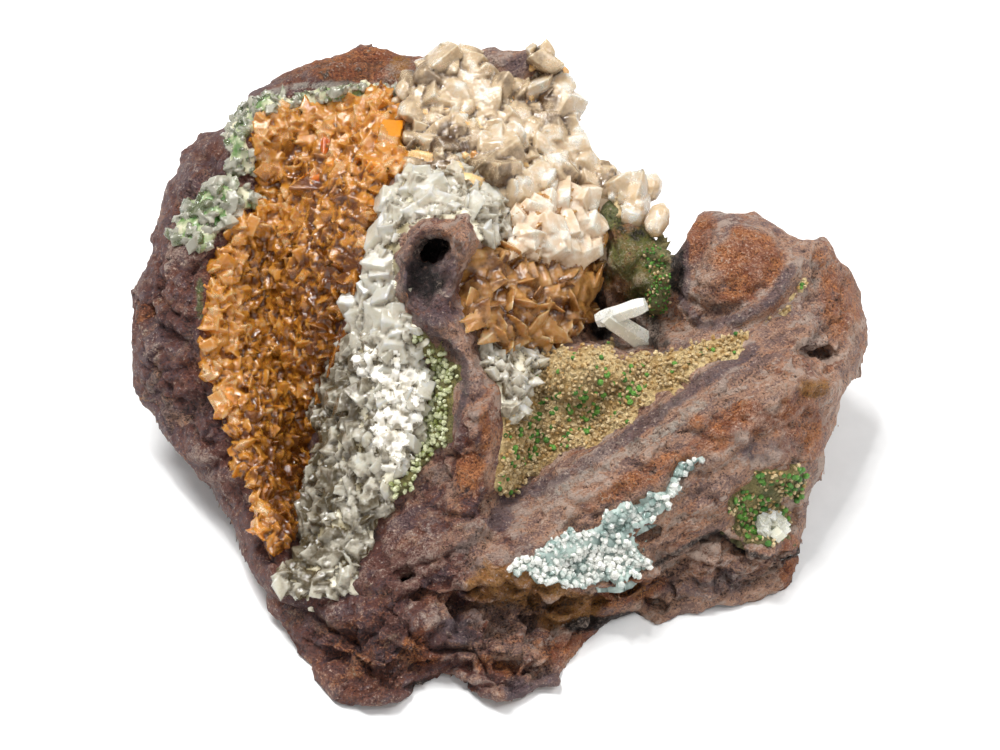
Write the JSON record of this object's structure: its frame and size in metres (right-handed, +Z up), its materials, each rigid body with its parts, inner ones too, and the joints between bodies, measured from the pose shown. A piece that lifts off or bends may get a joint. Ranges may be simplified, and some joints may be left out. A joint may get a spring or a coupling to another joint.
{
  "type": "hemimorphite mineral specimen",
  "caption": "Hand specimen of brown iron-oxide rock with a crystal-lined hollow, a second pocket, a druse-covered ledge and a small vug of pale blue hemimorphite.",
  "frame": {"origin": "middle of the underside, on the surface that the specimen lies on", "axes": "+Z up, +X along the long side to the right as the crystals are seen, -Y towards the side that the crystals face"},
  "size_m": [0.1067, 0.0918, 0.048],
  "materials": {
    "iron_oxide_rock": "rough earthy iron-oxide rock",
    "amber_calcite": "see-through amber calcite",
    "clear_calcite": "see-through colourless calcite",
    "cream_calcite": "milky cream calcite",
    "honey_calcite": "see-through honey calcite",
    "hemimorphite": "pale blue-white sparkling crust",
    "green_glassy_crystal": "pale green glassy crystals",
    "olive_druse": "olive green glassy grains",
    "ochre_druse": "grainy ochre and green druse",
    "green_druse": "grainy dark green druse",
    "milky_crystal": "milky white prism"
  },
  "bodies": {
    "root": {"limonite_matrix": "iron_oxide_rock", "amber_calcite_lining": "amber_calcite", "clear_calcite_ridge": "clear_calcite", "cream_calcite_crest": "cream_calcite", "honey_calcite_spray": "honey_calcite", "low_clear_crystals": "clear_calcite", "hemimorphite_crust": "hemimorphite", "green_rim_crystals": "green_glassy_crystal", "pale_rim_crystals": "green_glassy_crystal", "olive_druse": "olive_druse", "ochre_druse": "ochre_druse", "green_druse": "green_druse", "milky_prism_pair": "milky_crystal"}
  },
  "joints": []
}
